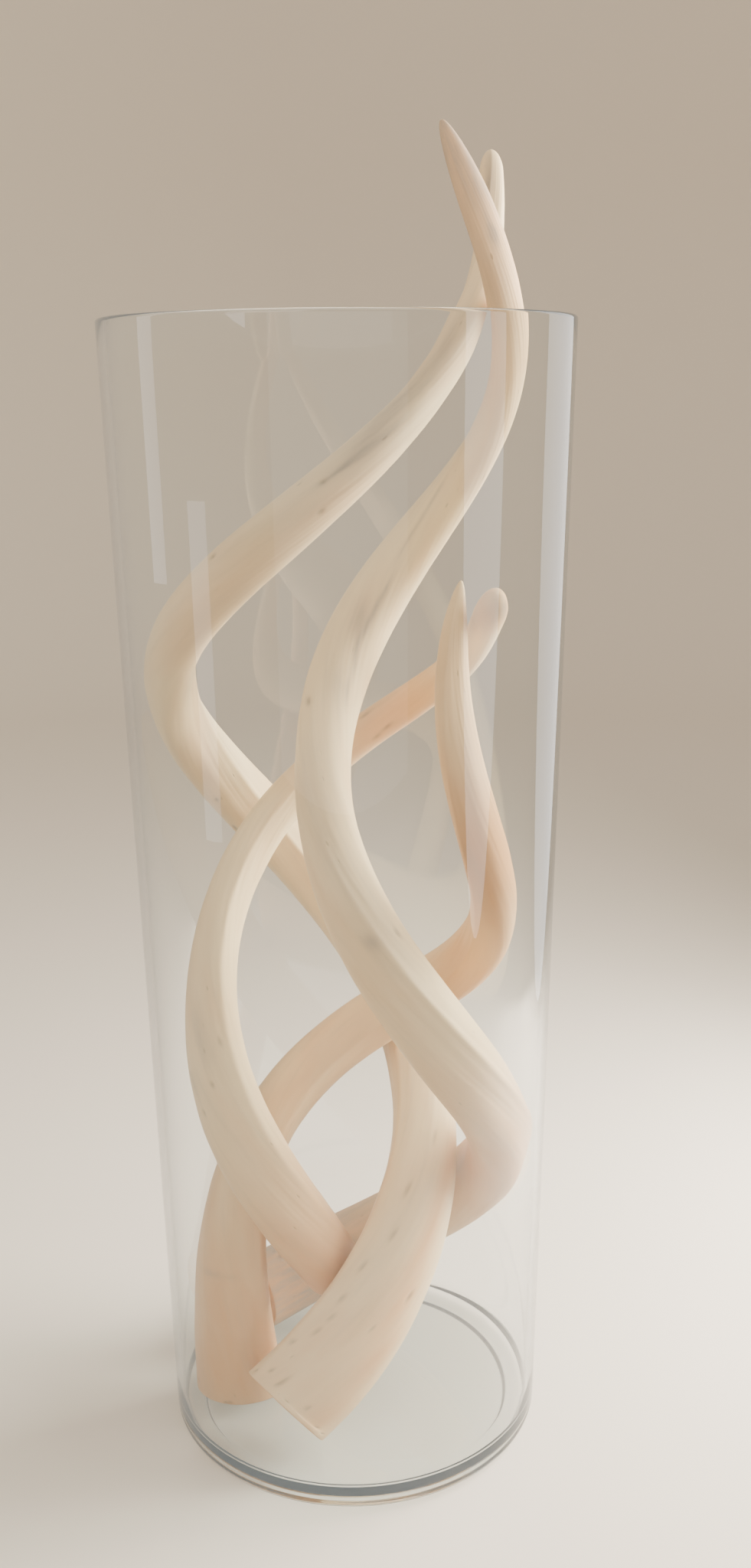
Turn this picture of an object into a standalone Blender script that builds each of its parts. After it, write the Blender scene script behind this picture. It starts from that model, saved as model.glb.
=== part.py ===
"""Four kudu horn cores standing in a tall glass cylinder, at life size.

The frame's origin is the middle of the glass foot, on the surface it stands on.
Metres, +Z up. The side that a visitor sees first faces -Y.
"""
import math

import bmesh
import bpy
import numpy as np

MM = 0.001

# Glass cylinder: a tall drawn vase with a thick foot.
GLASS_HEIGHT = 700 * MM
GLASS_RADIUS = 127.5 * MM
WALL = 5 * MM
FLOOR_THICKNESS = 16 * MM
HEEL_RADIUS = 9 * MM
FLOOR_FILLET = 5 * MM
RIM_ROUNDING = 2 * MM
GLASS_FACETS = 64

# Bone of the cores: its cross-section is an oval, with a keel in front and a lower one behind it.
# The sizes are shares of the half-width, except the keels' spread, in radians.
FLATNESS = 0.82
FRONT_KEEL = 0.07
REAR_KEEL = 0.03
KEEL_SPREAD = 0.32
POINTS_AROUND = 22
RING_SPACING = 19 * MM
NOSE_RINGS = 4

# Each core winds round an axis of its own. foot is where that axis meets the level z = 0, in mm,
# and lean tips it towards +X and towards +Y, in degrees. Then come guide values from the sawn
# base to the tip, blended by Bernstein weights: height along the axis, swing out from it and
# half-width of the bone, in mm, and turn round it in degrees, where falling numbers wind
# left-handed. broad is the angle of the section's long way from straight outwards and its change
# up to the tip, and keel is the front keel's angle from that long way, as guide values, all in
# degrees. nose is the length in mm over which the tip rounds off. saw gives the azimuth and the
# height in degrees of the direction square to the sawn base, or None for a cut square to the bone.
CORES = {
    "horn_core_long_left_wound": dict(
        foot=(27, -15), lean=(-0.2, -1.1),
        height=(44.6, 52, 339, 486, 555, 620, 777), swing=(124, 72, 69, 16, 11, 69, 80),
        turn=(145, 55, -34, -164, -268, -367, -433),
        half_width=(29.4, 24.1, 23.9, 22.4, 16.1, 12.1, 6.4),
        broad=(80, -15), keel=(-125, -60, 10, 68), nose=45, saw=None),
    "horn_core_long_right_wound": dict(
        foot=(-75, 15), lean=(7.2, -3.4),
        height=(49.0, 151, 274, 419, 582, 671, 789), swing=(84, 92, 120, 106, 91, 53, 59),
        turn=(-75, -19, 31, 115, 203, 308, 380),
        half_width=(33.7, 29.7, 21.6, 18.7, 17.8, 11.1, 5.6),
        broad=(150, -115), keel=(-45, 66, 109, 72), nose=12, saw=(34, 35)),
    "horn_core_short_raised": dict(
        foot=(-86, 19), lean=(6.8, -3.2),
        height=(117, 221, 301, 395, 473, 512, 587), swing=(61, 39, 33, 32, 52, 80, 114),
        turn=(-17, -84, -171, -237, -295, -364, -391),
        half_width=(22.8, 24.7, 22.0, 14.8, 9.6, 10.2, 10.0),
        broad=(95, 15), keel=(-62, -32, 130, 80), nose=18, saw=None),
    "horn_core_short_upright": dict(
        foot=(-84, -8), lean=(14.4, -4.4),
        height=(16.5, 204, 299, 404, 468, 507, 592), swing=(3, 57, 72, 96, 76, 22, 1),
        turn=(205, 148, 49, -13, -40, -68, -74),
        half_width=(31.2, 24.9, 17.5, 15.5, 16.9, 13.8, 4.6),
        broad=(145, -65), keel=(-15, 70, 165, 245), nose=34, saw=(0, 90)),
}


def clear_scene():
    for old in list(bpy.data.objects):
        bpy.data.objects.remove(old, do_unlink=True)


def material(name, colour, roughness, transmission=0.0):
    made = bpy.data.materials.new(name)
    made.use_nodes = True
    shader = made.node_tree.nodes["Principled BSDF"]
    shader.inputs["Base Color"].default_value = (*colour, 1.0)
    shader.inputs["Roughness"].default_value = roughness
    shader.inputs["Metallic"].default_value = 0.0
    shader.inputs["Transmission Weight"].default_value = transmission
    return made


def arc(centre, radius, start, end, steps):
    """Points of an arc in the XZ half-plane, with angles in degrees from +X."""
    angles = [math.radians(start + (end - start) * i / steps) for i in range(steps + 1)]
    return [(centre[0] + radius * math.cos(a), centre[1] + radius * math.sin(a)) for a in angles]


def glass_profile():
    """Half-section of the vase: inner floor, inner wall, rim, outer wall, heel, underside."""
    inner = GLASS_RADIUS - WALL
    return (
        [(0.0, FLOOR_THICKNESS)]
        + arc((inner - FLOOR_FILLET, FLOOR_THICKNESS + FLOOR_FILLET), FLOOR_FILLET, -90, 0, 3)
        + arc((inner + RIM_ROUNDING, GLASS_HEIGHT - RIM_ROUNDING), RIM_ROUNDING, 180, 90, 2)
        + arc((GLASS_RADIUS - RIM_ROUNDING, GLASS_HEIGHT - RIM_ROUNDING), RIM_ROUNDING, 90, 0, 2)
        + arc((GLASS_RADIUS - HEEL_RADIUS, HEEL_RADIUS), HEEL_RADIUS, 0, -90, 4)
        + [(0.0, 0.0)]
    )


def make_glass(collection, glass):
    profile = glass_profile()
    mesh = bpy.data.meshes.new("glass_cylinder")
    points = [(x, 0.0, z) for x, z in profile]
    edges = [(i, i + 1) for i in range(len(points) - 1)]
    mesh.from_pydata(points, edges, [])
    vase = bpy.data.objects.new("glass_cylinder", mesh)
    collection.objects.link(vase)
    turned = vase.modifiers.new("turned", "SCREW")
    turned.steps = GLASS_FACETS
    turned.render_steps = GLASS_FACETS
    turned.use_merge_vertices = True
    turned.merge_threshold = 0.00002
    turned.use_smooth_shade = True
    mesh.materials.append(glass)
    return vase


def bernstein(guides, t):
    """Blend the guide values over t from 0 to 1 with Bernstein weights."""
    n = len(guides) - 1
    weights = [math.comb(n, i) * t**i * (1.0 - t)**(n - i) for i in range(n + 1)]
    return sum(w * g for w, g in zip(weights, guides))


def unit(v):
    return v / np.linalg.norm(v, axis=-1, keepdims=True)


def winding_axis(lean):
    """The axis direction and two directions square to it, the first nearest to +X."""
    axis = np.array([math.sin(math.radians(lean[0])), math.sin(math.radians(lean[1])), 0.0])
    axis[2] = math.sqrt(1.0 - axis @ axis)
    side = unit(np.array([1.0, 0.0, 0.0]) - axis[0] * axis)
    return axis, side, np.cross(axis, side)


def middle_line(core, t):
    """Middle of the bone at t, and the direction straight out from the winding axis there."""
    axis, side, back = winding_axis(core["lean"])
    turn = np.radians(bernstein(core["turn"], t))
    out = np.outer(np.cos(turn), side) + np.outer(np.sin(turn), back)
    foot = np.array([core["foot"][0] * MM, core["foot"][1] * MM, 0.0])
    height = bernstein(core["height"], t) * MM
    swing = bernstein(core["swing"], t) * MM
    return foot + np.outer(height, axis) + swing[:, None] * out, out


def ring_places(core):
    """Values of t for the rings: even along the core, and closer together round its nose."""
    fine = np.linspace(0.0, 1.0, 400)
    middle, _ = middle_line(core, fine)
    steps = np.linalg.norm(np.diff(middle, axis=0), axis=1)
    along = np.concatenate([[0.0], np.cumsum(steps)])
    length = along[-1]
    nose = core["nose"] * MM
    shaft = np.linspace(0.0, length - nose, round((length - nose) / RING_SPACING) + 1)
    bend = np.radians(np.linspace(0.0, 90.0, NOSE_RINGS + 1)[1:-1])
    round_off = length - nose + nose * np.sin(bend)
    places = np.concatenate([shaft, round_off])
    shrink = np.sqrt(1.0 - np.clip((places - (length - nose)) / nose, 0.0, 1.0)**2)
    return np.interp(places, along, fine), shrink


def section_shape(keel):
    """Distances out from the bone's middle, a row for each ring: an oval with its long way at
    angle 0, a keel at the ring's own keel angle and a lower one opposite."""
    angle = np.linspace(0.0, 2.0 * math.pi, POINTS_AROUND, endpoint=False)
    off = np.abs((angle[None, :] - keel[:, None] + math.pi) % (2.0 * math.pi) - math.pi)
    oval = 1.0 / np.sqrt(np.cos(angle)**2 + (np.sin(angle) / FLATNESS)**2)
    front = FRONT_KEEL * np.exp(-(off / KEEL_SPREAD)**2)
    rear = REAR_KEEL * np.exp(-((math.pi - off) / KEEL_SPREAD)**2)
    return angle, oval[None, :] + front + rear


def core_rings(core):
    """Rings of points from base to tip, then the end points of the middle line."""
    t, shrink = ring_places(core)
    middle, out = middle_line(core, t)
    nudge = 0.001
    along = unit(middle_line(core, t + nudge)[0] - middle_line(core, t - nudge)[0])
    outward = unit(out - (out * along).sum(axis=1, keepdims=True) * along)
    axis = winding_axis(core["lean"])[0]
    upward = np.cross(along, outward)
    upward *= np.sign(upward @ axis)[:, None]
    broad = np.radians(core["broad"][0] + core["broad"][1] * t)[:, None]
    to_broad = np.cos(broad) * outward + np.sin(broad) * upward
    to_side = np.cos(broad) * upward - np.sin(broad) * outward
    angle, shape = section_shape(np.radians(bernstein(core["keel"], t)))
    half = bernstein(core["half_width"], t) * MM * shrink
    rings = (middle[:, None, :]
             + half[:, None, None] * shape[:, :, None]
             * (np.cos(angle)[None, :, None] * to_broad[:, None, :]
                + np.sin(angle)[None, :, None] * to_side[:, None, :]))
    if core["saw"]:
        azimuth, height = np.radians(core["saw"])
        square = np.array([math.cos(azimuth) * math.cos(height),
                           math.sin(azimuth) * math.cos(height),
                           math.sin(height)])
        beyond = (rings[0] - middle[0]) @ square
        rings[0] -= along[0] * (beyond / (along[0] @ square))[:, None]
    tip = middle_line(core, np.array([1.0]))[0][0]
    return rings, rings[0].mean(axis=0), tip


def make_core(name, core, collection, bone):
    rings, base_middle, tip = core_rings(core)
    bm = bmesh.new()
    loops = [[bm.verts.new(p) for p in ring] for ring in rings]
    base_point = bm.verts.new(base_middle)
    tip_point = bm.verts.new(tip)
    around = len(loops[0])
    for lower, upper in zip(loops, loops[1:]):
        for i in range(around):
            j = (i + 1) % around
            bm.faces.new((lower[i], lower[j], upper[j], upper[i]))
    for i in range(around):
        j = (i + 1) % around
        bm.faces.new((base_point, loops[0][j], loops[0][i]))
        bm.faces.new((tip_point, loops[-1][i], loops[-1][j]))
    bmesh.ops.recalc_face_normals(bm, faces=bm.faces)
    mesh = bpy.data.meshes.new(name)
    bm.to_mesh(mesh)
    bm.free()
    mesh.shade_smooth()
    mesh.set_sharp_from_angle(angle=math.radians(60))
    mesh.materials.append(bone)
    made = bpy.data.objects.new(name, mesh)
    collection.objects.link(made)
    return made


def build():
    clear_scene()
    collection = bpy.data.collections.new("kudu_horn_cores_in_glass_cylinder")
    bpy.context.scene.collection.children.link(collection)
    glass = material("clear_glass", (0.86, 0.90, 0.89), 0.03, transmission=1.0)
    make_glass(collection, glass)
    for name, core in CORES.items():
        bone = material("bone_of_" + name, (0.78, 0.68, 0.55), 0.55)
        make_core(name, core, collection, bone)


build()
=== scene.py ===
"""Four kudu horn cores in a tall glass cylinder: their bone, the glass and a plain studio."""
import math

import bpy
import numpy as np
from mathutils import Matrix, Vector


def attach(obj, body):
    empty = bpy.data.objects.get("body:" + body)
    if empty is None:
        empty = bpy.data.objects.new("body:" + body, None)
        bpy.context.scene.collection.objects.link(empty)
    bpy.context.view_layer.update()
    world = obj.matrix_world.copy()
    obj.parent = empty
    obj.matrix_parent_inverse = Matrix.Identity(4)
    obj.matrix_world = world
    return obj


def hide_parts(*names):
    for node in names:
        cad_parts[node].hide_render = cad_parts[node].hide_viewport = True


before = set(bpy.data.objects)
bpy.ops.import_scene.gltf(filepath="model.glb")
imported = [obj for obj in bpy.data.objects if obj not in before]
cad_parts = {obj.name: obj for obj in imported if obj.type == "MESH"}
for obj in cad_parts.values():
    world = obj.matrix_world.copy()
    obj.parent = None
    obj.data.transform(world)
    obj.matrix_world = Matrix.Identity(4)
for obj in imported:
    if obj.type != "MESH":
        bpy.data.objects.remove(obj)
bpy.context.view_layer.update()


# The long core that winds left-handed shows best. It leans out of the front right of the
# cylinder. A greater kudu's horn core is one spiral bone with a keel, sawn off at the skull,
# boiled clean and dried. The functions for all four cores stand here.
def blend(guides, t):
    """Guide values weighted by n-choose-i times t to the i times (1 - t) to the n - i."""
    n = len(guides) - 1
    return sum(math.comb(n, i) * t**i * (1.0 - t)**(n - i) * g for i, g in enumerate(guides))


def unit(v):
    return v / np.linalg.norm(v, axis=-1, keepdims=True)


def smooth_step(x, low, high):
    """0 below low, 1 above high, and 3u squared minus 2u cubed between them."""
    u = np.clip((x - low) / (high - low), 0.0, 1.0)
    return u * u * (3.0 - 2.0 * u)


def spiral(core, t):
    """The bone's middle at t: foot + height along a leaning axis + swing out from that axis at
    the angle turn. Also gives the direction of that swing, and the axis."""
    lean_x, lean_y = np.radians(core["lean"])
    axis = np.array([math.sin(lean_x), math.sin(lean_y), 0.0])
    axis[2] = math.sqrt(1.0 - axis @ axis)
    side = unit(np.array([1.0, 0.0, 0.0]) - axis[0] * axis)
    back = np.cross(axis, side)
    turn = np.radians(blend(core["turn"], t))[:, None]
    out = np.cos(turn) * side + np.sin(turn) * back
    foot = np.array([*core["foot"], 0.0])
    middle = foot + blend(core["height"], t)[:, None] * axis + blend(core["swing"], t)[:, None] * out
    return middle / 1000.0, out, axis


def bone_section(angle, keel, crisp):
    """Distance out at an angle, as a share of the half-width: an oval, plus a broad and a narrow
    bell for the front keel, less a shallow furrow on each side of it, plus a low rear keel."""
    off = (angle - keel + np.pi) % (2.0 * np.pi) - np.pi
    behind = np.pi - np.abs(off)
    oval = 1.0 / np.sqrt(np.cos(angle)**2 + (np.sin(angle) / 0.82)**2)
    front = 0.035 * np.exp(-(off / 0.40)**2) + crisp * 0.055 * np.exp(-(off / 0.13)**2)
    furrows = crisp * 0.028 * np.exp(-((np.abs(off) - 0.62) / 0.28)**2)
    rear = 0.028 * np.exp(-(behind / 0.30)**2)
    return oval + front - furrows + rear


def waves(seed, count, along, angle, round_waves, length, rise):
    """Sum of cosines of m times the angle plus 2 pi times the distance over a wavelength plus a
    phase, with whole m so that the pattern closes round the bone. Peaks reach about rise."""
    pick = np.random.default_rng(seed)
    total = np.zeros(np.broadcast(along, angle).shape)
    for _ in range(count):
        m = pick.integers(round_waves[0], round_waves[1] + 1)
        k = 2.0 * np.pi / pick.uniform(*length) * pick.choice([-1.0, 1.0])
        total += np.cos(m * angle + k * along + pick.uniform(0.0, 2.0 * np.pi))
    return rise * total / math.sqrt(2.0 * count)


def bells(patches, along, angle, half):
    """Sum of bells, each strength times e to the minus squared distances over its reaches, the
    one along the bone and the one round it, both in mm."""
    total = np.zeros(np.broadcast(along, angle).shape)
    for place, turned, reach_along, reach_round, strength in patches:
        off = (angle - math.radians(turned) + np.pi) % (2.0 * np.pi) - np.pi
        total += strength * np.exp(-((along * 1000.0 - place) / reach_along)**2
                                   - (off * half * 1000.0 / reach_round)**2)
    return total


def closed_grid(name, points, first, last):
    """A mesh from rings of points, each ring closed on itself, with a fan to one point at each
    end. Face corners are counted ring by ring, so the faces are whole-array sums of indices. A
    sixth of the sum of each face's corners' triple product is the volume: if it is below zero,
    every face is turned over."""
    rings, around = points.shape[:2]
    i = np.arange(rings - 1)[:, None] * around
    j = np.arange(around)[None, :]
    k = (j + 1) % around
    quads = np.stack([i + j, i + k, i + around + k, i + around + j], axis=-1).reshape(-1, 4)
    j, k = j[0], k[0]
    top = (rings - 1) * around
    start = np.stack([k, j, np.full(around, rings * around)], axis=-1)
    end = np.stack([top + j, top + k, np.full(around, rings * around + 1)], axis=-1)
    places = np.concatenate([points.reshape(-1, 3), [first], [last]])
    thirds = np.concatenate([quads[:, :3], quads[:, [0, 2, 3]], start, end])
    a, b, c = (places[thirds[:, n]] for n in range(3))
    turn = 1 if (np.cross(a, b) * c).sum() > 0.0 else -1
    faces = quads[:, ::turn].tolist() + start[:, ::turn].tolist() + end[:, ::turn].tolist()
    mesh = bpy.data.meshes.new(name)
    mesh.from_pydata(places.tolist(), [], faces)
    mesh.shade_smooth()
    piece = bpy.data.objects.new(name, mesh)
    bpy.context.scene.collection.objects.link(piece)
    return piece


def core_rows(core):
    """Rows from the middle of the sawn face to the tip: their t, the share of the half-width
    that each keeps, how far each lies along, and how much of it is sawn face. Rows are even
    along the shaft, and close together on the cut's rim and, by a sine, on the nose."""
    row_step = 0.0015
    fine = np.linspace(0.0, 1.0, 1500)
    steps = np.linalg.norm(np.diff(spiral(core, fine)[0], axis=0), axis=1)
    reach = np.concatenate([[0.0], np.cumsum(steps)])
    length, nose, rim = reach[-1], core["nose"] / 1000.0, core["rim"] / 1000.0
    face = np.linspace(0.08, 1.0, 12)[:-1]
    bend = np.linspace(0.0, np.pi / 2.0, 6)
    shaft = np.arange(rim, length - nose, row_step)[1:]
    curl = np.linspace(0.0, np.pi / 2.0, 14)[:-1]
    half = core["half_width"][0] / 1000.0
    share = np.concatenate([
        face * (1.0 - rim / half), 1.0 - rim / half * (1.0 - np.sin(bend)),
        np.ones(len(shaft)), np.cos(curl)])
    along = np.concatenate([
        np.zeros(len(face)), rim * (1.0 - np.cos(bend)),
        shaft, length - nose + nose * np.sin(curl)])
    sawn = np.concatenate([np.ones(len(face)), np.cos(bend), np.zeros(len(shaft) + len(curl))])
    return np.interp(along, reach, fine), share, along, sawn


def shape_core(name, core):
    """Rings of points round the spiral, each at half-width times section times share, with long
    low waves, fine grooves and the core's own dents taken off the distance out. A sawn end is
    sheared along the bone into the plane that is square to the saw's azimuth and height. The
    grid keeps, as attributes, the place on the bone laid straight and masks: one for tan that is
    partly the bone's own tone and partly painted warm bounce light and painted shade, one for
    stains that also paints shade, and ones for pits and cut."""
    around = 120
    angle = np.linspace(0.0, 2.0 * np.pi, around, endpoint=False)[None, :]
    t, share, along, sawn = core_rows(core)
    middle, out, axis = spiral(core, t)
    ahead = unit(spiral(core, t + 0.001)[0] - spiral(core, t - 0.001)[0])
    outward = unit(out - (out * ahead).sum(axis=1, keepdims=True) * ahead)
    upward = np.cross(ahead, outward)
    upward *= np.sign(upward @ axis)[:, None]
    broad = np.radians(core["broad"][0] + core["broad"][1] * t)[:, None]
    to_broad = np.cos(broad) * outward + np.sin(broad) * upward
    to_side = np.cos(broad) * upward - np.sin(broad) * outward
    keel = np.radians(blend(core["keel"], t))[:, None]
    half = blend(core["half_width"], t)[:, None] / 1000.0
    s = along[:, None]
    quiet_end, dent_depth, trimmed = 0.03, 0.0006, 0.019
    fade = (smooth_step(s, 0.0, quiet_end)
            * (1.0 - smooth_step(s, along[-1] - quiet_end, along[-1])))
    crisp = core["crisp"] * (0.35 + 0.65 * fade)
    lumps = waves(core["seed"], 9, s, angle, round_waves=(1, 4), length=(0.05, 0.22), rise=0.010)
    grooves = waves(core["seed"] + 1, 26, s, angle, round_waves=(9, 34), length=(0.05, 0.40),
                    rise=0.00006)
    dents = bells(core["pits"], s, angle, half)
    distance = half * bone_section(angle, keel, crisp) * (1.0 + fade * lumps)
    distance = distance + fade * grooves - dent_depth * np.clip(dents, 0.0, 1.5)
    distance = distance * share[:, None]
    points = (middle[:, None, :]
              + distance[:, :, None] * (np.cos(angle)[:, :, None] * to_broad[:, None, :]
                                        + np.sin(angle)[:, :, None] * to_side[:, None, :]))
    if core["saw"]:
        azimuth, height = np.radians(core["saw"])
        square = np.array([math.cos(azimuth) * math.cos(height),
                           math.sin(azimuth) * math.cos(height), math.sin(height)])
        beyond = (points - middle[:, None, :]) @ square
        shear = beyond / (ahead[0] @ square)
        points -= (shear * (1.0 - smooth_step(s, 0.0, trimmed)))[:, :, None] * ahead[0]
    first = middle[0]
    last = spiral(core, np.array([1.0]))[0][0]
    piece = closed_grid(name, points, first, last)
    straight = np.stack(np.broadcast_arrays(
        half * share[:, None] * np.cos(angle), half * share[:, None] * np.sin(angle), s), axis=-1)
    keep_vector(piece, "laid_straight", straight, (0.0, 0.0, 0.0), (0.0, 0.0, along[-1]))
    keep_mask(piece, "tan", bells(core["tan"], s, angle, half), 0.0, 0.0)
    keep_mask(piece, "stain_and_shade", bells(core["stain_and_shade"], s, angle, half), 0.0, 0.0)
    keep_mask(piece, "pit", dents, 0.0, 0.0)
    keep_mask(piece, "cut", np.broadcast_to(sawn[:, None], (len(t), around)), 1.0, 0.0)
    return piece


def keep_vector(piece, name, grid, first, last):
    """Puts a grid of vectors, and those of the two end points, into a point attribute."""
    values = np.concatenate([grid.reshape(-1, 3), [first], [last]])
    kept = piece.data.attributes.new(name, "FLOAT_VECTOR", "POINT")
    kept.data.foreach_set("vector", values.astype(np.float32).ravel())


def keep_mask(piece, name, grid, first, last):
    """Puts a grid of numbers, held between 0 and 1, and two end values into an attribute."""
    values = np.concatenate([np.clip(grid, 0.0, 1.0).ravel(), [first, last]])
    kept = piece.data.attributes.new(name, "FLOAT", "POINT")
    kept.data.foreach_set("value", values.astype(np.float32))


def node(tree, kind, **settings):
    """A new shader node with its settings."""
    made = tree.nodes.new(kind)
    for key, value in settings.items():
        setattr(made, key, value)
    return made


def feed(tree, socket, value):
    """Links another node's socket to this one, or puts a plain value on it."""
    if isinstance(value, bpy.types.NodeSocket):
        tree.links.new(value, socket)
    else:
        socket.default_value = value


def maths(tree, how, a, b=0.0, c=0.0, clamp=False):
    made = node(tree, "ShaderNodeMath", operation=how, use_clamp=clamp)
    for socket, value in zip(made.inputs, (a, b, c)):
        feed(tree, socket, value)
    return made.outputs["Value"]


def between(tree, value, low, high, to_low=0.0, to_high=1.0):
    made = node(tree, "ShaderNodeMapRange", interpolation_type="SMOOTHSTEP")
    for name, item in (("Value", value), ("From Min", low), ("From Max", high),
                       ("To Min", to_low), ("To Max", to_high)):
        feed(tree, made.inputs[name], item)
    return made.outputs["Result"]


def mixed(tree, share, a, b):
    made = node(tree, "ShaderNodeMix", data_type="RGBA")
    feed(tree, made.inputs[0], share)
    feed(tree, made.inputs[6], a)
    feed(tree, made.inputs[7], b)
    return made.outputs[2]


def speckle(tree, place, stretch, scale, detail=2.0, rough=0.5):
    """Noise on the straightened bone, squeezed or drawn out along it by stretch."""
    drawn = node(tree, "ShaderNodeVectorMath", operation="MULTIPLY")
    feed(tree, drawn.inputs[0], place)
    drawn.inputs[1].default_value = (1.0, 1.0, stretch)
    made = node(tree, "ShaderNodeTexNoise")
    feed(tree, made.inputs["Vector"], drawn.outputs[0])
    made.inputs["Scale"].default_value = scale
    made.inputs["Detail"].default_value = detail
    made.inputs["Roughness"].default_value = rough
    return made.outputs["Fac"]


def bone_group():
    """Dry cleaned bone. Colour goes from cream to tan by the tan mask and a slow noise; that mask is
    partly the bone's own tone and partly painted warm bounce light and painted shade. Then grain
    streaks, stains, which at one core's base are painted shade, and pores darken it. The cut face
    is coarse, with spongy holes."""
    tree = bpy.data.node_groups.new("dry_bone", "ShaderNodeTree")
    new = tree.interface.new_socket
    # Tan is the bone's own tan and also the colour of painted warm bounce light and painted shade;
    # Stain is real staining and also painted shade.
    for name, colour in (("Cream", (0.85, 0.655, 0.385, 1)), ("Tan", (0.75, 0.42, 0.20, 1)),
                         ("Stain_and_shade_tint", (0.34, 0.27, 0.20, 1)), ("Pore", (0.12, 0.08, 0.05, 1))):
        new(name=name, in_out="INPUT", socket_type="NodeSocketColor").default_value = colour
    for name, value in (("Grain", 0.5), ("Pores", 0.5), ("Shift", 0.0)):
        new(name=name, in_out="INPUT", socket_type="NodeSocketFloat").default_value = value
    new(name="Color", in_out="OUTPUT", socket_type="NodeSocketColor")
    new(name="Roughness", in_out="OUTPUT", socket_type="NodeSocketFloat")
    new(name="Height", in_out="OUTPUT", socket_type="NodeSocketFloat")
    given = node(tree, "NodeGroupInput").outputs
    result = node(tree, "NodeGroupOutput").inputs
    laid = node(tree, "ShaderNodeAttribute", attribute_name="laid_straight").outputs["Vector"]
    shift = node(tree, "ShaderNodeVectorMath", operation="ADD")
    feed(tree, shift.inputs[0], laid)
    feed(tree, shift.inputs[1], given["Shift"])
    place = shift.outputs[0]
    tan = node(tree, "ShaderNodeAttribute", attribute_name="tan").outputs["Fac"]
    stain_and_shade = node(tree, "ShaderNodeAttribute", attribute_name="stain_and_shade").outputs["Fac"]
    pit = node(tree, "ShaderNodeAttribute", attribute_name="pit").outputs["Fac"]
    cut = node(tree, "ShaderNodeAttribute", attribute_name="cut").outputs["Fac"]

    slow = speckle(tree, place, stretch=0.35, scale=28.0, detail=3.0)
    # The tan mask puts painted warm bounce light and painted shade over the bone's own tone.
    tone = maths(tree, "ADD", tan, between(tree, slow, 0.42, 0.78, 0.0, 0.35), clamp=True)
    colour = mixed(tree, tone, given["Cream"], given["Tan"])
    streak = speckle(tree, place, stretch=0.045, scale=260.0, detail=4.0, rough=0.6)
    streaks = maths(tree, "MULTIPLY", between(tree, streak, 0.50, 0.74), given["Grain"])
    worn = speckle(tree, place, stretch=0.16, scale=70.0, detail=5.0, rough=0.65)
    # Stain patches are real stains, slits and dashes, and at the left-wound core's base painted
    # shade.
    stains_and_shade = maths(tree, "MULTIPLY", stain_and_shade, between(tree, worn, 0.30, 0.62, 0.40, 1.0))
    mottled = between(tree, worn, 0.44, 0.76, 0.0, 0.14)
    marked = maths(tree, "MULTIPLY_ADD", streaks, 0.20, mottled)
    marked = maths(tree, "ADD", marked, stains_and_shade, clamp=True)
    colour = mixed(tree, marked, colour, given["Stain_and_shade_tint"])

    drawn = node(tree, "ShaderNodeVectorMath", operation="MULTIPLY")
    feed(tree, drawn.inputs[0], place)
    drawn.inputs[1].default_value = (1.0, 1.0, 0.36)
    cells = node(tree, "ShaderNodeTexVoronoi")
    feed(tree, cells.inputs["Vector"], drawn.outputs[0])
    cells.inputs["Scale"].default_value = 260.0
    cells.inputs["Randomness"].default_value = 1.0
    chosen = node(tree, "ShaderNodeSeparateColor")
    feed(tree, chosen.inputs[0], cells.outputs["Color"])
    rare = between(tree, chosen.outputs[0], 0.94, 0.96)
    near = between(tree, cells.outputs["Distance"], 0.08, 0.20, 1.0, 0.0)
    holes = maths(tree, "MULTIPLY", near, rare)
    holes = maths(tree, "MULTIPLY", holes, given["Pores"])
    holes = maths(tree, "MAXIMUM", holes, pit)
    colour = mixed(tree, maths(tree, "MULTIPLY", holes, 0.58), colour, given["Pore"])

    sponge = node(tree, "ShaderNodeTexVoronoi")
    feed(tree, sponge.inputs["Vector"], place)
    sponge.inputs["Scale"].default_value = 620.0
    open_cell = between(tree, sponge.outputs["Distance"], 0.15, 0.50, 1.0, 0.0)
    radius = node(tree, "ShaderNodeVectorMath", operation="LENGTH")
    flat = node(tree, "ShaderNodeVectorMath", operation="MULTIPLY")
    feed(tree, flat.inputs[0], laid)
    flat.inputs[1].default_value = (1.0, 1.0, 0.0)
    feed(tree, radius.inputs[0], flat.outputs[0])
    inner = between(tree, radius.outputs["Value"], 0.017, 0.022, 1.0, 0.12)
    spongy = maths(tree, "MULTIPLY", maths(tree, "MULTIPLY", open_cell, inner), cut)
    face = mixed(tree, spongy, given["Tan"], given["Pore"])
    colour = mixed(tree, maths(tree, "MULTIPLY", cut, 0.9), colour, face)
    feed(tree, result["Color"], colour)

    rough = maths(tree, "MULTIPLY_ADD", slow, 0.22, 0.32)
    rough = maths(tree, "ADD", rough, maths(tree, "MULTIPLY", marked, 0.15))
    rough = maths(tree, "ADD", rough, maths(tree, "MULTIPLY", cut, 0.3), clamp=True)
    feed(tree, result["Roughness"], rough)
    height = maths(tree, "MULTIPLY", streak, given["Grain"])
    height = maths(tree, "SUBTRACT", height, maths(tree, "MULTIPLY", holes, 1.2))
    height = maths(tree, "SUBTRACT", height, maths(tree, "MULTIPLY", spongy, 2.0))
    feed(tree, result["Height"], height)
    return tree


dry_bone = bone_group()


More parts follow.
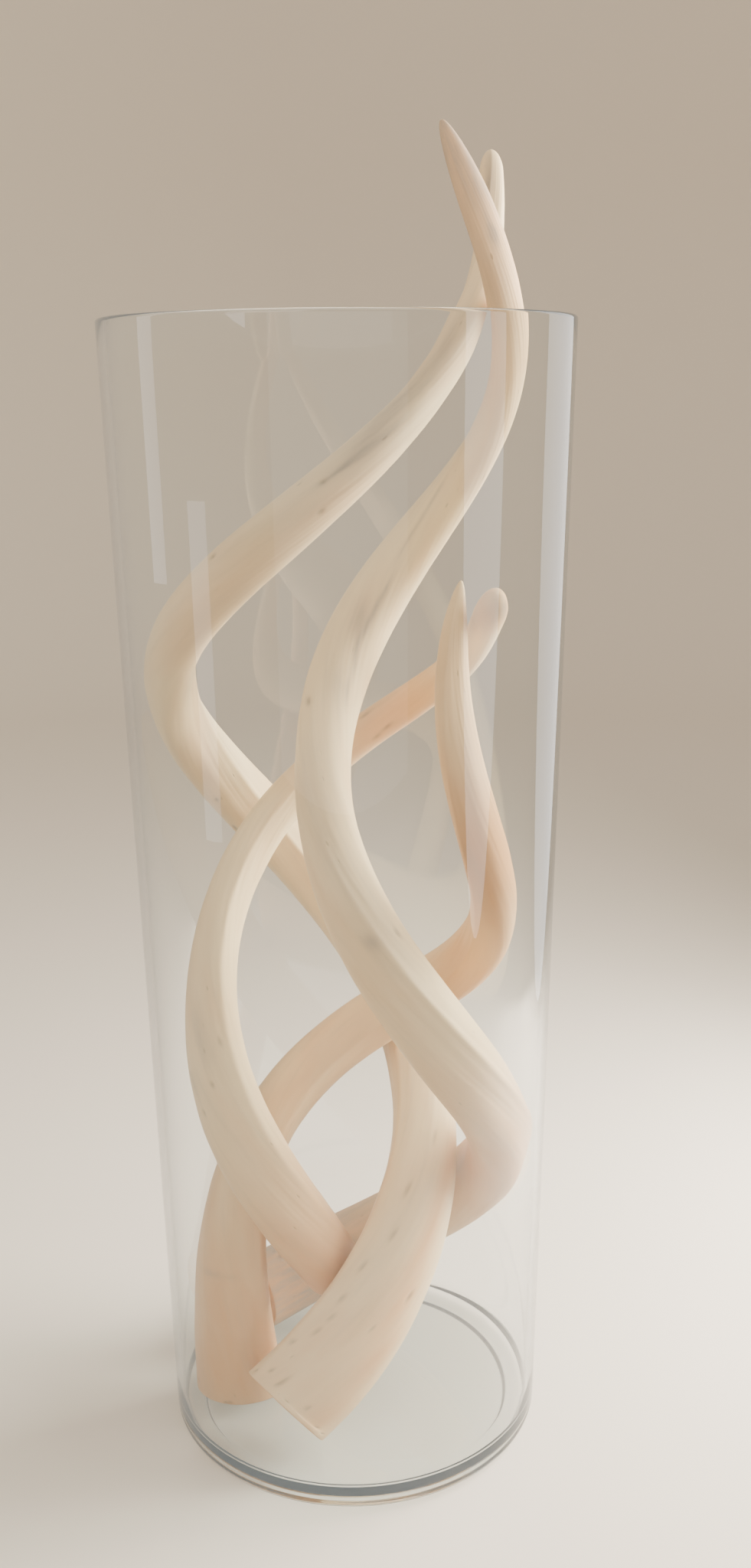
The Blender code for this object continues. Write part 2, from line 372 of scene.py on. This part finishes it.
def bone_material(name, values):
    """Principled bone with the shared group's colour, roughness and height, at its own values."""
    made = bpy.data.materials.new(name)
    made.use_nodes = True
    tree = made.node_tree
    shader = tree.nodes["Principled BSDF"]
    surface = node(tree, "ShaderNodeGroup", node_tree=dry_bone)
    for key, value in values.items():
        surface.inputs[key].default_value = value
    tree.links.new(surface.outputs["Color"], shader.inputs["Base Color"])
    tree.links.new(surface.outputs["Roughness"], shader.inputs["Roughness"])
    raised = node(tree, "ShaderNodeBump")
    raised.inputs["Strength"].default_value = 0.5
    raised.inputs["Distance"].default_value = 0.0005
    tree.links.new(surface.outputs["Height"], raised.inputs["Height"])
    tree.links.new(raised.outputs["Normal"], shader.inputs["Normal"])
    shader.inputs["Specular IOR Level"].default_value = 0.4
    return made


# Sizes are in millimetres and angles in degrees. A patch of tan, which is partly the bone's own
# tone and partly painted warm bounce light and painted shade, a patch of stain, some of which is
# painted shade, or a pit, is its place along the bone, its angle round it, its reach along, its
# reach round, and its strength.
left_wound = dict(
    foot=(27, -15), lean=(-0.2, -1.1),
    height=(44.6, 52, 339, 486, 555, 620, 777), swing=(124, 72, 69, 16, 11, 69, 80),
    turn=(145, 55, -34, -164, -268, -367, -433),
    half_width=(29.4, 24.1, 23.9, 22.4, 16.1, 12.1, 6.4),
    broad=(80, -15), keel=(-125, -60, 10, 68), nose=45, rim=1.5, saw=None, crisp=1.0, seed=11,
    # The tan patches at the big bend and at the sawn base, and the first stain patch at that base,
    # are painted shade and painted warm bounce light; the other stain patches are real stains, slits
    # and dashes.
    tan=[(290, 215, 80, 200, 0.95), (420, 238, 60, 30, 0.12), (20, 30, 120, 200, 1.0),
         (900, 0, 60, 200, 0.35), (975, 0, 40, 200, 0.5)],
    stain_and_shade=[(35, 30, 90, 200, 1.0), (985, 300, 40, 9, 0.5), (985, 0, 50, 200, 0.6),
          (942, 278, 5, 2.5, 0.9), (917, 225, 26, 7, 0.35),
          (778, 105, 12, 1.6, 0.6), (760, 104, 12, 1.6, 0.6), (743, 102, 12, 1.6, 0.5),
          (716, 110, 10, 1.6, 0.6), (702, 103, 10, 1.6, 0.6), (689, 95, 8, 1.6, 0.6),
          (677, 87, 8, 1.6, 0.6), (666, 92, 8, 1.6, 0.5), (648, 80, 8, 1.6, 0.45),
          (691, 77, 15, 7, 0.55), (648, 57, 14, 7, 0.45), (577, 343, 70, 16, 0.25),
          (498, 308, 5, 5, 0.5)],
    pits=[(636, 1, 2.5, 1.6, 1.0), (495, 352, 3, 1.2, 0.8), (450, 193, 3, 1.3, 0.8),
          (26, 22, 3, 1.5, 1.0), (27, 10, 3, 1.5, 0.9)])
long_left = shape_core("bone_long_left_wound", left_wound)
# This core's tan is darker and more orange, for painted warm bounce light and painted shade low on
# the bone.
long_left.data.materials.append(bone_material(
    "bone_long_left_wound", {"Shift": 0.0, "Tan": (0.68, 0.34, 0.135, 1)}))
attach(long_left, "root")
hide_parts("horn_core_long_left_wound")


# The long core that winds right-handed. Its sawn base stands at the front of the glass floor,
# and from there it goes up round the back to a wide bend at the left.
right_wound = dict(
    foot=(-75, 15), lean=(7.2, -3.4),
    height=(49.0, 151, 274, 419, 582, 671, 789), swing=(84, 92, 120, 106, 91, 53, 59),
    turn=(-75, -19, 31, 115, 203, 308, 380),
    half_width=(33.7, 29.7, 21.6, 18.7, 17.8, 11.1, 5.6),
    broad=(150, -115), keel=(-45, 66, 109, 72), nose=12, rim=1.0, saw=(34, 35), crisp=1.0, seed=23,
    # These tan patches are partly the bone's own tone and partly painted warm bounce light.
    tan=[(800, 250, 45, 14, 0.4), (720, 235, 60, 16, 0.08),
         (171, 280, 30, 9, 0.4), (135, 272, 30, 9, 0.65), (103, 250, 30, 9, 0.65),
         (71, 225, 25, 9, 0.6), (19, 216, 22, 9, 0.45), (50, 300, 120, 200, 0.2)],
    stain_and_shade=[(888, 4, 22, 6, 0.5), (855, 357, 24, 6, 0.6), (835, 335, 16, 6, 0.45),
          (822, 318, 12, 6, 0.4), (835, 326, 14, 1.5, 0.6), (825, 322, 14, 1.5, 0.6),
          (812, 322, 12, 1.5, 0.5), (985, 85, 18, 4, 0.7)],
    pits=[(802, 323, 1.8, 1.3, 0.8), (793, 269, 1.8, 1.3, 0.8), (736, 330, 2, 1.4, 0.9),
          (513, 149, 2, 1.4, 0.8), (482, 158, 3, 2, 1.0), (206, 322, 5, 1.3, 0.6),
          (169, 337, 5, 1.3, 0.8), (138, 325, 5, 1.3, 0.8), (108, 247, 4, 1.5, 1.0),
          (111, 334, 5, 1.3, 0.8), (86, 326, 4, 1.3, 0.8), (72, 317, 4, 1.3, 0.7),
          (59, 316, 4, 1.3, 0.8), (42, 325, 3, 1.3, 0.8), (81, 264, 3, 1.3, 0.6),
          (19, 287, 7, 1.4, 1.0), (18, 309, 3, 1.3, 0.8), (11, 259, 2, 1.4, 0.9),
          (21, 238, 2, 1.3, 0.8), (12, 207, 2, 1.4, 0.9), (7, 192, 2, 1.3, 0.9),
          (6, 321, 2, 1.3, 0.9)])
long_right = shape_core("bone_long_right_wound", right_wound)
long_right.data.materials.append(bone_material("bone_long_right_wound", {"Shift": 0.31}))
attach(long_right, "root")
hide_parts("horn_core_long_right_wound")


# The short core whose rounded base end rests on the right-wound core, clear of the floor.
raised_core = dict(
    foot=(-86, 19), lean=(6.8, -3.2),
    height=(117, 221, 301, 395, 473, 512, 587), swing=(61, 39, 33, 32, 52, 80, 114),
    turn=(-17, -84, -171, -237, -295, -364, -391),
    half_width=(22.8, 24.7, 22.0, 14.8, 9.6, 10.2, 10.0),
    broad=(95, 15), keel=(-62, -32, 130, 80), nose=18, rim=4.0, saw=None, crisp=0.8, seed=37,
    # These tan patches are partly the bone's own tone and partly painted warm bounce light and
    # painted shade.
    tan=[(45, 250, 75, 200, 0.75), (475, 80, 60, 200, 0.55), (598, 200, 14, 200, 0.7)],
    stain_and_shade=[(206, 300, 20, 6, 0.35), (181, 241, 10, 6, 0.4), (600, 220, 7, 7, 0.7)],
    pits=[(446, 35, 5, 1.3, 0.7), (457, 129, 5, 1.3, 0.8), (446, 133, 4, 1.3, 0.7),
          (202, 335, 3, 1.2, 0.6), (178, 290, 2, 1.4, 0.8), (163, 240, 2, 1.4, 0.8)])
short_raised = shape_core("bone_short_raised", raised_core)
short_raised.data.materials.append(bone_material("bone_short_raised", {"Shift": 0.62}))
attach(short_raised, "root")
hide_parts("horn_core_short_raised")


# The short core that stands on its level sawn base at the left and winds over to the right.
upright_core = dict(
    foot=(-84, -8), lean=(14.4, -4.4),
    height=(16.5, 204, 299, 404, 468, 507, 592), swing=(3, 57, 72, 96, 76, 22, 1),
    turn=(205, 148, 49, -13, -40, -68, -74),
    half_width=(31.2, 24.9, 17.5, 15.5, 16.9, 13.8, 4.6),
    broad=(145, -65), keel=(-15, 70, 165, 245), nose=34, rim=1.5, saw=(0, 90), crisp=0.9, seed=53,
    # The tan patches at the big bend paint warm light shining through the bone, and the one at the
    # foot paints shade, over the bone's own tone.
    tan=[(531, 256, 50, 200, 0.7), (486, 205, 45, 200, 0.4), (414, 114, 50, 200, 0.5),
         (620, 265, 40, 200, 0.4), (291, 5, 60, 200, 0.35), (20, 270, 90, 200, 0.75),
         (150, 270, 80, 200, 0.2)],
    stain_and_shade=[(101, 294, 2.5, 16, 0.5)],
    pits=[(2, 264, 2, 2, 0.9), (3, 272, 2, 2, 0.8), (12, 213, 2, 1.4, 0.7)])
short_upright = shape_core("bone_short_upright", upright_core)
# This core's tan is darker and more orange, for painted warm bounce light and painted shade low on
# the bone.
short_upright.data.materials.append(bone_material(
    "bone_short_upright", {"Shift": 0.87, "Tan": (0.68, 0.34, 0.135, 1)}))
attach(short_upright, "root")
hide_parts("horn_core_short_upright")


# The vase is one piece of clear soda-lime glass, drawn as a cylinder: an even wall, a polished
# rim, a thick floor with a rounded heel, and a foot that stands on a narrow ring.
def bend_line(centre, radius, start, end, steps):
    """Points of an arc at centre plus radius times the cosine and sine, in degrees from +X."""
    turn = np.radians(np.linspace(start, end, steps))
    return np.stack([centre[0] + radius * np.cos(turn), centre[1] + radius * np.sin(turn)], axis=-1)


def straight_line(start, end, steps):
    """Points at even shares of the way between two ends, without the ends themselves."""
    share = np.linspace(0.0, 1.0, steps + 2)[1:-1, None]
    return np.array(start) * (1.0 - share) + np.array(end) * share


glass_height, glass_radius, wall, floor_level = 0.700, 0.1275, 0.005, 0.016
rim_round, heel_round, corner_round, ring_inner, ring_outer = 0.002, 0.009, 0.006, 0.104, 0.108
dome_radius, dome_top, dome_edge, under_edge, under_middle = 0.050, 0.0008, 0.0003, 0.0025, 0.0030
inner = glass_radius - wall
profile = np.concatenate([
    straight_line((0.0, floor_level + dome_top), (dome_radius, floor_level + dome_edge), 8),
    straight_line((dome_radius, floor_level + dome_edge), (inner - corner_round, floor_level), 8),
    bend_line((inner - corner_round, floor_level + corner_round), corner_round, -90, 0, 12),
    straight_line((inner, floor_level + corner_round), (inner, glass_height - rim_round), 40),
    bend_line((inner + rim_round, glass_height - rim_round), rim_round, 180, 90, 7),
    bend_line((glass_radius - rim_round, glass_height - rim_round), rim_round, 90, 0, 7),
    straight_line((glass_radius, glass_height - rim_round), (glass_radius, heel_round), 40),
    bend_line((glass_radius - heel_round, heel_round), heel_round, 0, -90, 16),
    straight_line((glass_radius - heel_round, 0.0), (ring_outer, 0.0), 3),
    bend_line((ring_inner, -0.002), 0.0045, 27, 90, 5),
    straight_line((ring_inner, under_edge), (0.0, under_middle), 10),
])
turn = np.linspace(0.0, 2.0 * np.pi, 256, endpoint=False)[None, :]
rings = np.stack(np.broadcast_arrays(
    profile[:, :1] * np.cos(turn), profile[:, :1] * np.sin(turn), profile[:, 1:]), axis=-1)
vase = closed_grid("glass_vase", rings, (0.0, 0.0, floor_level + dome_top), (0.0, 0.0, under_middle))
glass = bpy.data.materials.new("clear_soda_lime_glass")
glass.use_nodes = True
tree = glass.node_tree
shader = tree.nodes["Principled BSDF"]
shader.inputs["Base Color"].default_value = (0.985, 0.995, 0.992, 1.0)
shader.inputs["Roughness"].default_value = 0.0
shader.inputs["IOR"].default_value = 1.5
shader.inputs["Metallic"].default_value = 0.0
shader.inputs["Transmission Weight"].default_value = 1.0
ray = node(tree, "ShaderNodeLightPath")
clear = node(tree, "ShaderNodeBsdfTransparent")
clear.inputs["Color"].default_value = (0.95, 0.97, 0.965, 1.0)
either = node(tree, "ShaderNodeMixShader")
tree.links.new(ray.outputs["Is Shadow Ray"], either.inputs[0])
tree.links.new(shader.outputs["BSDF"], either.inputs[1])
tree.links.new(clear.outputs["BSDF"], either.inputs[2])
# Past more than one glossy bounce inside the glass, the surface gives out a fixed blue-grey glow:
# painted light standing in for the light that the thick heel and floor would gather.
painted_glow = node(tree, "ShaderNodeEmission")
painted_glow.inputs["Color"].default_value = (0.30, 0.335, 0.335, 1.0)
painted_glow.inputs["Strength"].default_value = 0.6
deep = node(tree, "ShaderNodeMath", operation="GREATER_THAN")
tree.links.new(ray.outputs["Glossy Depth"], deep.inputs[0])
deep.inputs[1].default_value = 1.5
surface = node(tree, "ShaderNodeMixShader")
tree.links.new(deep.outputs[0], surface.inputs[0])
tree.links.new(either.outputs[0], surface.inputs[1])
tree.links.new(painted_glow.outputs[0], surface.inputs[2])
output = tree.nodes["Material Output"]
tree.links.new(surface.outputs[0], output.inputs["Surface"])
tinted = node(tree, "ShaderNodeVolumeAbsorption")
tinted.inputs["Color"].default_value = (0.66, 0.72, 0.76, 1.0)
tinted.inputs["Density"].default_value = 9.0
tree.links.new(tinted.outputs["Volume"], output.inputs["Volume"])
vase.data.materials.append(glass)
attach(vase, "root")
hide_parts("glass_cylinder")


# A plain pale floor that sweeps up into a surround of the same colour on all sides. A key light
# stands at the right and a broad one high in front at the left, and narrow panels that light
# little are there to be mirrored in the glass.
floor_reach, sweep_round, floor_below, floor_sides = 2.4, 1.2, 0.0004, 128
sweep = np.concatenate([
    straight_line((0.0, -floor_below), (floor_reach, -floor_below), 12),
    bend_line((floor_reach, sweep_round - floor_below), sweep_round, -90, 0, 24),
    straight_line((3.6, sweep_round), (3.6, 3.6), 6),
])
round_floor = np.linspace(0.0, 2.0 * np.pi, floor_sides, endpoint=False)[None, :]
floor_points = np.stack(np.broadcast_arrays(
    sweep[:, :1] * np.cos(round_floor), sweep[:, :1] * np.sin(round_floor), sweep[:, 1:]), axis=-1)
ring = np.arange(len(sweep) - 1)[:, None] * floor_sides
here = np.arange(floor_sides)[None, :]
beside = (here + 1) % floor_sides
quads = np.stack([ring + floor_sides + here, ring + floor_sides + beside, ring + beside,
                  ring + here], axis=-1).reshape(-1, 4)
floor_mesh = bpy.data.meshes.new("plain_floor")
floor_mesh.from_pydata(floor_points.reshape(-1, 3).tolist(), [],
                       [list(range(floor_sides))] + quads.tolist())
floor_mesh.shade_smooth()
floor = bpy.data.objects.new("plain_floor", floor_mesh)
bpy.context.scene.collection.objects.link(floor)
pale = bpy.data.materials.new("plain_floor")
pale.use_nodes = True
coat = pale.node_tree.nodes["Principled BSDF"].inputs
coat["Base Color"].default_value = (0.76, 0.68, 0.57, 1)
coat["Roughness"].default_value = 0.75
floor_mesh.materials.append(pale)

world = bpy.data.worlds.new("soft_surround")
world.use_nodes = True
sky = world.node_tree.nodes["Background"].inputs
sky["Color"].default_value = (1.0, 0.95, 0.88, 1)
sky["Strength"].default_value = 0.90
bpy.context.scene.world = world


def softbox(name, place, aim, size, power, colour, mirrored=True, shape="RECTANGLE"):
    """A flat area light at a place, turned to the cylinder's axis at the height aim. The key
    isn't mirrored, so that the narrow panels alone draw the reflections on the glass."""
    lamp = bpy.data.lights.new(name, "AREA")
    lamp.shape = shape
    lamp.size, lamp.size_y = size
    lamp.energy = power
    lamp.color = colour
    made = bpy.data.objects.new(name, lamp)
    made.location = place
    toward = Vector((0.0, 0.0, aim)) - Vector(place)
    made.rotation_euler = toward.to_track_quat("-Z", "Y").to_euler()
    made.visible_camera = False
    made.visible_transmission = False
    made.visible_glossy = mirrored
    bpy.context.scene.collection.objects.link(made)


white = (1.0, 1.0, 1.0)
softbox("key_right", (0.72, 0.16, 0.66), aim=0.50, size=(0.42, 1.20), power=46.0,
        colour=(1.0, 0.96, 0.89), mirrored=False)
softbox("panel_right", (0.62, -0.28, 0.68), aim=0.68, size=(0.26, 1.02), power=2.9, colour=white,
        shape="ELLIPSE")
softbox("panel_behind_right", (0.64, 0.44, 0.64), aim=0.64, size=(0.46, 1.24), power=3.6,
        colour=white, shape="ELLIPSE")
softbox("panel_left", (-0.70, 0.02, 0.80), aim=0.78, size=(0.12, 0.60), power=0.55, colour=white)
softbox("panel_front_left", (-0.85, -0.35, 0.38), aim=0.38, size=(0.16, 0.36), power=0.5,
        colour=white)
softbox("panel_front", (0.0, -1.60, 0.55), aim=0.55, size=(1.9, 1.0), power=5.5,
        colour=(1.0, 0.97, 0.94))
softbox("broad_light_front", (-1.3, -1.9, 1.9), aim=0.35, size=(1.6, 1.4), power=22.0,
        colour=(1.0, 0.93, 0.84))


# The camera stands a little above the rim, looks down into the cylinder, and is shifted up. Its
# focal length and shift are in the 2048 pixels of the picture's height.
camera_place = (0.0, -0.8526, 0.6678)
pitch, roll, yaw = math.radians(23.58), math.radians(-0.54), math.radians(-1.14)
picture_height, focal_length, shift_up, sensor = 2048.0, 1884.2, 300.0, 36.0
ahead = Vector((0.0, math.cos(pitch), -math.sin(pitch)))
level = Vector((1.0, 0.0, 0.0))
upright = Vector((0.0, math.sin(pitch), math.cos(pitch)))
right = math.cos(roll) * level + math.sin(roll) * upright
up = math.cos(roll) * upright - math.sin(roll) * level
stand = Matrix((right, up, -ahead)).transposed()
camera = bpy.data.objects.new("camera", bpy.data.cameras.new("camera"))
camera.matrix_world = (Matrix.Translation(camera_place)
                       @ (Matrix.Rotation(yaw, 3, "Z") @ stand).to_4x4())
camera.data.sensor_width = sensor
camera.data.lens = focal_length * sensor / picture_height
camera.data.shift_y = shift_up / picture_height
camera.data.clip_start = 0.01
bpy.context.scene.collection.objects.link(camera)
bpy.context.scene.camera = camera
